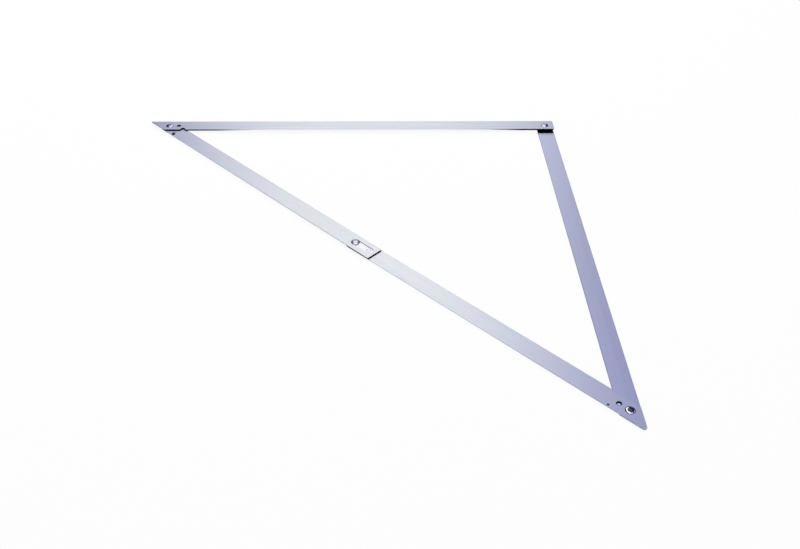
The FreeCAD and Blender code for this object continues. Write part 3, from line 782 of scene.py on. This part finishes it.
class SQUARE_OT_rivets(bpy.types.Operator):
    """Turn the four rivets of the pivots, and the tip pivot's base"""

    bl_idname = "square.rivets"
    bl_label = "Rivets"

    def execute(self, context):
        joints = context.scene.square_joints
        finishes = context.scene.square_finishes
        # Rivet steel, upset and faced flat by the tool: a dark mirror beside the pale bars.
        steel = worked_steel(
            "polished rivet steel", finishes.rivet, roughness=0.16, grain_size=0.6 * MM, darkening=0.85
        )
        # The tip is handled most, so its rivet has lost its polish and gone grey.
        worn = worked_steel(
            "worn rivet steel", finishes.worn_rivet, roughness=0.22, grain_size=0.6 * MM, darkening=0.8
        )
        shared = picked(joints, "shank_radius", "tail_radius", "tail_depth")
        head = picked(joints, "head_radius", "head_thickness", "head_bevel")
        dimple = picked(joints, "dimple_radius", "dimple_depth")
        tree = turned_tree("Rivet", ("length", *shared, *head, *dimple), RIVET, hollow=False)
        rivets = {
            "brace_rivet": ("channel", steel),
            "corner_rivet": ("channel", steel),
            "tip_rivet": ("lower_brace", worn),
            "hinge_stud": ("upper_brace", steel),
        }
        for node, (body, metal) in rivets.items():
            sizes = {"length": foot_of(node)[1], **shared, **head, **dimple}
            make_turned(f"{node}_turned", body, tree, sizes, {"finish": metal}, [node])
        node = "tip_rivet_base"
        rim = {"rim_radius": joints.spacer_radius, "rim": joints.tip_rim}
        sizes = {"length": foot_of(node)[1], **shared, **rim}
        tree = turned_tree("Tip base", tuple(sizes), TIP_BASE, hollow=False)
        make_turned(f"{node}_turned", "flat_leg", tree, sizes, {"finish": steel}, [node])
        return {"FINISHED"}


class SQUARE_OT_cups(bpy.types.Operator):
    """Form the dished washer under every rivet head"""

    bl_idname = "square.cups"
    bl_label = "Rivet cups"

    def execute(self, context):
        joints = context.scene.square_joints
        finishes = context.scene.square_finishes
        # Bright nickel plating on a pressed washer: near mirror, with faint dull patches.
        nickel = worked_steel(
            "bright nickel plated cup",
            finishes.plating,
            roughness=0.06,
            grain_size=1.5 * MM,
            darkening=0.9,
        )
        sizes = {
            "bore": joints.shank_radius + joints.bore_gap,
            "seat_radius": joints.cup_seat_radius,
            "width": joints.cup_radius - joints.cup_seat_radius,
            "floor": joints.cup_floor,
            "rise": joints.cup_crown - joints.cup_floor,
        }
        # Painted shade: black put into the groove round the rivet's head, where shade falls.
        groove_shade = worked_steel(
            "packed dirt", finishes.grime, roughness=0.6, grain_size=1.0 * MM, darkening=0.6
        )
        materials = {"finish": nickel, "grime": groove_shade}
        tree = turned_tree("Cup", tuple(sizes), CUP, hollow=True)
        cups = {
            "channel": ["brace_rivet_cup", "corner_rivet_cup"],
            "lower_brace": ["tip_rivet_cup"],
            "upper_brace": ["hinge_stud_cup"],
        }
        for body, nodes in cups.items():
            values = {**sizes, "grime_radius": joints.groove_shade_radius}
            make_turned(f"{body}_rivet_cups", body, tree, values, materials, nodes)
        return {"FINISHED"}


class SQUARE_OT_spacers(bpy.types.Operator):
    """Turn the spacers and washers between the layers"""

    bl_idname = "square.spacers"
    bl_label = "Spacers"

    def execute(self, context):
        joints = context.scene.square_joints
        finishes = context.scene.square_finishes
        # Dulled zinc plating on turned steel: a fine grain and a soft shine.
        zinc = worked_steel(
            "zinc plated turned steel",
            finishes.zinc,
            roughness=0.3,
            grain_size=0.5 * MM,
            darkening=0.75,
        )
        shared = {
            "bore": joints.shank_radius + joints.bore_gap,
            "radius": joints.spacer_radius,
            "rounding": joints.spacer_round,
        }
        coat = {"finish": zinc}
        tree = turned_tree("Spacer", ("length", *shared), SPACER, hollow=True)
        for node in ("brace_spacer", "corner_spacer", "corner_washer"):
            sizes = {"length": foot_of(node)[1], **shared}
            make_turned(f"{node}_turned", "channel", tree, sizes, coat, [node])
        node = "hinge_spacer"
        neck = picked(joints, "neck_radius", "neck_height")
        sizes = {"length": foot_of(node)[1], **shared, **neck}
        tree = turned_tree("Necked spacer", tuple(sizes), NECKED_SPACER, hollow=True)
        make_turned(f"{node}_turned", "upper_brace", tree, sizes, coat, [node])
        return {"FINISHED"}


class SQUARE_OT_stops(bpy.types.Operator):
    """Turn the two small black fold stops"""

    bl_idname = "square.stops"
    bl_label = "Fold stops"

    def execute(self, context):
        joints = context.scene.square_joints
        finishes = context.scene.square_finishes
        # Black oxide on steel: thin, dark, slightly oily shine.
        black = worked_steel(
            "black oxide steel", finishes.black, roughness=0.35, grain_size=0.4 * MM, darkening=0.6
        )
        # The tip's stop has lost most of the oxide.
        worn = worked_steel(
            "worn black oxide steel",
            finishes.worn_black,
            roughness=0.3,
            grain_size=0.4 * MM,
            darkening=0.6,
        )
        shared = {"radius": joints.stop_radius, "bevel": joints.stop_bevel}
        tree = turned_tree("Fold stop", ("length", *shared), STOP_PIN, hollow=False)
        stops = {
            "brace_stop_pin": ("upper_brace", black),
            "tip_stop_pin": ("lower_brace", worn),
        }
        for node, (body, steel) in stops.items():
            sizes = {"length": foot_of(node)[1], **shared}
            make_turned(f"{node}_turned", body, tree, sizes, {"finish": steel}, [node])
        return {"FINISHED"}


class SQUARE_OT_latch(bpy.types.Operator):
    """Form the hollow latch button and finish its spring leaf"""

    bl_idname = "square.latch"
    bl_label = "Latch"

    def execute(self, context):
        latch = context.scene.square_latch
        finishes = context.scene.square_finishes
        # Stainless spring strip, polished along its length: bright, with soft streaks.
        spring = worked_steel(
            "polished stainless spring steel",
            finishes.spring,
            roughness=0.4,
            grain_size=2.0 * MM,
            darkening=0.95,
        )
        leaf = frame["nodes"]["latch_spring"]
        leaf.data.materials.clear()
        leaf.data.materials.append(spring)
        sizes = {
            "length": foot_of("latch_button")[1],
            "bore": latch.bore_radius,
            "tube_radius": latch.tube_radius,
            "rim_radius": latch.rim_radius,
            "height": latch.button_height,
            "lip": latch.lip,
        }
        tree = turned_tree("Button", tuple(sizes), BUTTON, hollow=True)
        coat = {"finish": spring}
        make_turned("latch_button_rolled", "latch", tree, sizes, coat, ["latch_button"])
        return {"FINISHED"}


class SQUARE_OT_stage(bpy.types.Operator):
    """Set up the white floor, the lamps, the world and the camera"""

    bl_idname = "square.stage"
    bl_label = "Studio"

    def execute(self, context):
        studio = context.scene.square_studio
        scene = context.scene
        scene.view_settings.view_transform = "Standard"
        self.make_camera(scene, studio)
        self.make_world(scene, studio)
        if studio.keep_floor:
            self.make_floor(scene, studio)
        # The lamps face the middle of the square.
        aim = Vector((-0.55, -0.55, 0.0))
        self.make_lamp("back softbox", studio.back_lamp, (1.9, 1.9), aim, (-0.5, 1.9, 2.55))
        self.make_lamp("top softbox", studio.top_lamp, (0.8, 0.8), aim, (-1.7, 0.1, 2.9))
        return {"FINISHED"}

    def make_camera(self, scene, studio):
        camera = bpy.data.cameras.new("camera")
        camera.lens = studio.lens
        camera.sensor_width = 36
        camera.clip_start = 0.01
        holder = bpy.data.objects.new("camera", camera)
        holder.location = studio.camera_place
        holder.rotation_euler = studio.camera_turn
        scene.collection.objects.link(holder)
        scene.camera = holder

    def make_world(self, scene, studio):
        """The world: white to the camera, and the studio's walls and light strip to the metal."""
        world = bpy.data.worlds.new("studio")
        world.use_nodes = True
        scene.world = world
        tree = world.node_tree
        tree.nodes.clear()
        walls = self.mirrored_walls(tree, studio)
        behind = add(tree, "ShaderNodeLightPath").outputs["Is Camera Ray"]
        shown = blend(tree, behind, walls, opaque(studio.wall))
        light = add(tree, "ShaderNodeBackground", {"Color": shown, "Strength": 1.0})
        add(tree, "ShaderNodeOutputWorld", {"Surface": light.outputs[0]})

    def mirrored_walls(self, tree, studio):
        """What the metal mirrors: a long warm strip overhead, bluish walls and a dim far horizon."""
        direction = add(tree, "ShaderNodeTexCoord").outputs["Generated"]
        x, y, z = add(tree, "ShaderNodeSeparateXYZ", {0: direction}).outputs
        aside = maths(tree, "ABSOLUTE", x)
        slant = maths(tree, "MULTIPLY_ADD", aside, -0.5, z)
        # What each mask follows, where it is empty and where it is full.
        edges = {
            "strip": (aside, 0.22, 0.18),
            "strip_foot": (z, 0.26, 0.36),
            "strip_front": (z, 0.72, 0.86),
            "back": (y, -0.05, 0.05),
            "corner": (aside, 0.22, 0.27),
            "corner_end": (aside, 0.81, 0.67),
            "corner_top": (slant, 0.63, 0.53),
            "horizon": (z, 0.2, 0.06),
        }
        mask = {key: ramp(tree, *edge, interpolation_type="SMOOTHSTEP") for key, edge in edges.items()}
        foot = add(
            tree, "ShaderNodeMix", {0: mask["back"], 2: mask["strip_front"], 3: mask["strip_foot"]}
        ).outputs[0]
        lit = maths(tree, "MULTIPLY", mask["strip"], foot)
        corner = maths(tree, "MULTIPLY", mask["corner"], mask["corner_end"])
        side = maths(tree, "MULTIPLY", mask["back"], mask["corner_end"])
        corner = maths(tree, "MULTIPLY", corner, mask["corner_top"])
        corner = maths(tree, "MAXIMUM", corner, mask["horizon"])
        corner = maths(tree, "MULTIPLY", corner, mask["back"])
        layers = (
            (side, studio.side_wall),
            (corner, studio.dark_wall),
            (lit, [part * studio.strip_light for part in studio.strip_tint]),
        )
        walls = opaque(studio.front_wall)
        for cover, shade in layers:
            walls = blend(tree, cover, walls, opaque(shade))
        return walls

    def make_floor(self, scene, studio):
        """A white floor whose brightness is mostly its own, so that the shadow on it stays faint."""
        mesh = bpy.data.meshes.new("floor")
        shape = bmesh.new()
        bmesh.ops.create_grid(shape, x_segments=8, y_segments=8, size=15)
        for vertex in shape.verts:
            vertex.co.z = -studio.floor_drop
        shape.to_mesh(mesh)
        shape.free()
        floor = bpy.data.objects.new("floor", mesh)
        scene.collection.objects.link(floor)
        material, tree = new_material("matt white floor paper")
        paper = add(tree, "ShaderNodeBsdfDiffuse", {"Color": opaque(studio.wall)})
        glow = add(tree, "ShaderNodeEmission", {"Color": opaque(studio.wall), "Strength": 1.0})
        path = add(tree, "ShaderNodeLightPath").outputs
        mirrored = maths(tree, "MAXIMUM", path["Is Glossy Ray"], path["Is Transmission Ray"])
        seen = maths(tree, "MAXIMUM", path["Is Camera Ray"], mirrored)
        own = maths(tree, "MULTIPLY", seen, 1 - studio.shadow_share)
        mixed = add(tree, "ShaderNodeMixShader", {0: own, 1: paper.outputs[0], 2: glow.outputs[0]})
        add(tree, "ShaderNodeOutputMaterial", {"Surface": mixed.outputs[0]})
        mesh.materials.append(material)

    def make_lamp(self, name, power, size, aim, place):
        lamp = bpy.data.lights.new(name, "AREA")
        lamp.shape = "RECTANGLE"
        lamp.size, lamp.size_y = size
        lamp.energy = power
        holder = bpy.data.objects.new(name, lamp)
        holder.location = place
        holder.rotation_euler = (aim - Vector(place)).to_track_quat("-Z", "Y").to_euler()
        holder.visible_glossy = False
        bpy.context.scene.collection.objects.link(holder)


STEPS = (
    SQUARE_OT_bars,
    SQUARE_OT_rivets,
    SQUARE_OT_cups,
    SQUARE_OT_spacers,
    SQUARE_OT_stops,
    SQUARE_OT_latch,
    SQUARE_OT_stage,
)
SETTINGS = {
    "square_finishes": SquareFinishes,
    "square_bars": BarSizes,
    "square_joints": JointSizes,
    "square_latch": LatchSizes,
    "square_studio": StudioSettings,
}


class VIEW3D_PT_square(bpy.types.Panel):
    bl_label = "Folding builders square"
    bl_idname = "VIEW3D_PT_square"
    bl_space_type = "VIEW_3D"
    bl_region_type = "UI"
    bl_category = "Square"

    def draw(self, context):
        for step in STEPS:
            self.layout.operator(step.bl_idname)
        for name, group in SETTINGS.items():
            box = self.layout.box()
            settings = getattr(context.scene, name)
            for key in group.__annotations__:
                box.prop(settings, key)


def register():
    for group in (*SETTINGS.values(), *STEPS, VIEW3D_PT_square):
        bpy.utils.register_class(group)
    for name, group in SETTINGS.items():
        setattr(bpy.types.Scene, name, PointerProperty(type=group))


def unregister():
    for name in SETTINGS:
        delattr(bpy.types.Scene, name)
    for group in reversed((*SETTINGS.values(), *STEPS, VIEW3D_PT_square)):
        bpy.utils.unregister_class(group)


def main():
    register()
    for step in STEPS:
        family, name = step.bl_idname.split(".")
        getattr(getattr(bpy.ops, family), name)()


if __name__ == "__main__":
    main()
